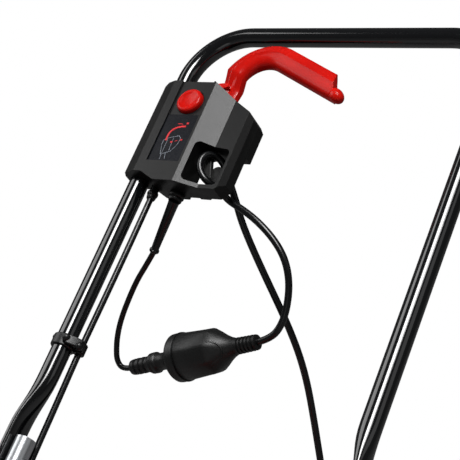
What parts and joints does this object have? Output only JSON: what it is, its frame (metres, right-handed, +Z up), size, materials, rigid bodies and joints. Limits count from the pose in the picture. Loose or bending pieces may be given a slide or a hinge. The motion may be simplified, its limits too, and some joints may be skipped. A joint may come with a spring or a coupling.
{
  "type": "push lawn mower",
  "caption": "Corded electric push mower: folding tube handle with switch box, red start lever and lock button, hung cord coupling, deck, motor, blade and grass box.",
  "frame": {"origin": "on the ground, at the middle of the mower's length and width", "axes": "+Z up, the front of the mower faces -Y and the handle is at +Y, +X is on the left of a user who stands behind the handle"},
  "size_m": [0.4472, 1.095, 1.011],
  "materials": {
    "red_abs": "gloss",
    "black_hood": "satin gloss",
    "black_tube": "high gloss powder coat",
    "zinc_tube": "satin galvanised",
    "box_abs": "fine spark texture",
    "label_film": "satin film",
    "steel": "zinc plated",
    "spring_steel": "oiled",
    "laminations": "varnished",
    "cast_bracket": "die cast",
    "white_plastic": "moulded",
    "black_plastic": "moulded",
    "grey_plastic": "moulded",
    "wheel_plastic": "moulded tread",
    "blade_steel": "black with ground edges",
    "rubber_black": "soft matt",
    "cable_pvc": "satin sheath",
    "plug_pvc": "moulded matt"
  },
  "bodies": {
    "chassis": {"deck": "red_abs", "motor_cover": "black_hood", "front_axle": "steel", "rear_axle": "steel", "motor_stator": "laminations", "motor_brackets": "cast_bracket", "motor_bearings": "steel", "motor_screws": "steel", "capacitor": "white_plastic", "lower_tube_left": "zinc_tube", "lower_tube_right": "zinc_tube", "tube_screws": "steel", "motor_cable_lower": "cable_pvc", "flap_rod": "steel", "flap_spring": "spring_steel", "ext_cord_tail": "cable_pvc", "ext_coil": "cable_pvc", "mains_plug": "plug_pvc"},
    "rotor": {"rotor_shaft": "steel", "armature": "laminations", "cooling_fan": "black_plastic", "blade_hub": "black_plastic", "blade": "blade_steel", "blade_bolt": "steel"},
    "flap": {"rear_flap": "black_plastic"},
    "grass_box": {"grass_box_shell": "black_plastic", "grass_box_lid": "red_abs", "grass_box_handle": "black_plastic"},
    "handle": {"upper_handle": "black_tube", "switchbox_front": "box_abs", "switchbox_rear": "box_abs", "label_panel": "label_film", "box_screws": "steel", "cord_hook": "black_plastic", "microswitch": "black_plastic", "lever_spring": "spring_steel", "lever_pin": "steel", "button_spring": "spring_steel", "motor_cable_grommet": "rubber_black", "bend_sleeve": "plug_pvc", "motor_cable_upper": "cable_pvc", "cable_clip": "rubber_black", "pivot_bolts": "steel", "mains_lead": "cable_pvc", "appliance_plug": "plug_pvc", "extension_coupler": "plug_pvc", "ext_cord_loop": "cable_pvc"},
    "lever": {"start_lever": "red_abs"},
    "button": {"lock_button": "red_abs"},
    "knob_left": {"star_knob_left": "black_plastic"},
    "knob_right": {"star_knob_right": "black_plastic"},
    "front_left_wheel": {"front_wheel_left": "wheel_plastic", "front_hub_cap_left": "grey_plastic"},
    "front_right_wheel": {"front_wheel_right": "wheel_plastic", "front_hub_cap_right": "grey_plastic"},
    "rear_left_wheel": {"rear_wheel_left": "wheel_plastic", "rear_hub_cap_left": "grey_plastic"},
    "rear_right_wheel": {"rear_wheel_right": "wheel_plastic", "rear_hub_cap_right": "grey_plastic"}
  },
  "joints": [
    {"name": "front_left_spin", "type": "hinge", "parent": "chassis", "child": "front_left_wheel", "pos_m": [0.188, -0.4775, 0.07], "axis": [1, 0, 0], "continuous": true},
    {"name": "front_right_spin", "type": "hinge", "parent": "chassis", "child": "front_right_wheel", "pos_m": [-0.188, -0.4775, 0.07], "axis": [1, 0, 0], "continuous": true},
    {"name": "rear_left_spin", "type": "hinge", "parent": "chassis", "child": "rear_left_wheel", "pos_m": [0.188, -0.1025, 0.09], "axis": [1, 0, 0], "continuous": true},
    {"name": "rear_right_spin", "type": "hinge", "parent": "chassis", "child": "rear_right_wheel", "pos_m": [-0.188, -0.1025, 0.09], "axis": [1, 0, 0], "continuous": true},
    {"name": "blade_spin", "type": "hinge", "parent": "chassis", "child": "rotor", "pos_m": [0, -0.2925, 0.15], "axis": [0, 0, 1], "continuous": true},
    {"name": "flap_lift", "type": "hinge", "parent": "chassis", "child": "flap", "pos_m": [0, -0.0805, 0.21], "axis": [1, 0, 0], "range_deg": [0, 30], "stiffness_Nm_per_rad": 0.15, "springref_deg": -68.75},
    {"name": "grass_box_slide", "type": "slide", "parent": "chassis", "child": "grass_box", "axis": [0, 1, 0], "range_m": [0, 0.12]},
    {"name": "handle_fold", "type": "hinge", "parent": "chassis", "child": "handle", "pos_m": [-0.19, 0.17654, 0.57102], "axis": [1, 0, 0], "range_deg": [0, 140]},
    {"name": "start_lever_pull", "type": "hinge", "parent": "handle", "child": "lever", "pos_m": [-0.115, 0.46258, 0.9119], "axis": [0, -0.766, 0.6428], "range_deg": [0, 17], "stiffness_Nm_per_rad": 0.6, "springref_deg": -20.05},
    {"name": "lock_button_press", "type": "slide", "parent": "handle", "child": "button", "axis": [0, 0.766, -0.6428], "range_m": [0, 0.0045], "stiffness_N_per_m": 400, "springref_m": -0.002},
    {"name": "knob_right_turn", "type": "hinge", "parent": "handle", "child": "knob_right", "pos_m": [-0.211, 0.17654, 0.57102], "axis": [1, 0, 0], "continuous": true},
    {"name": "knob_left_turn", "type": "hinge", "parent": "handle", "child": "knob_left", "pos_m": [0.211, 0.17654, 0.57102], "axis": [1, 0, 0], "continuous": true}
  ]
}
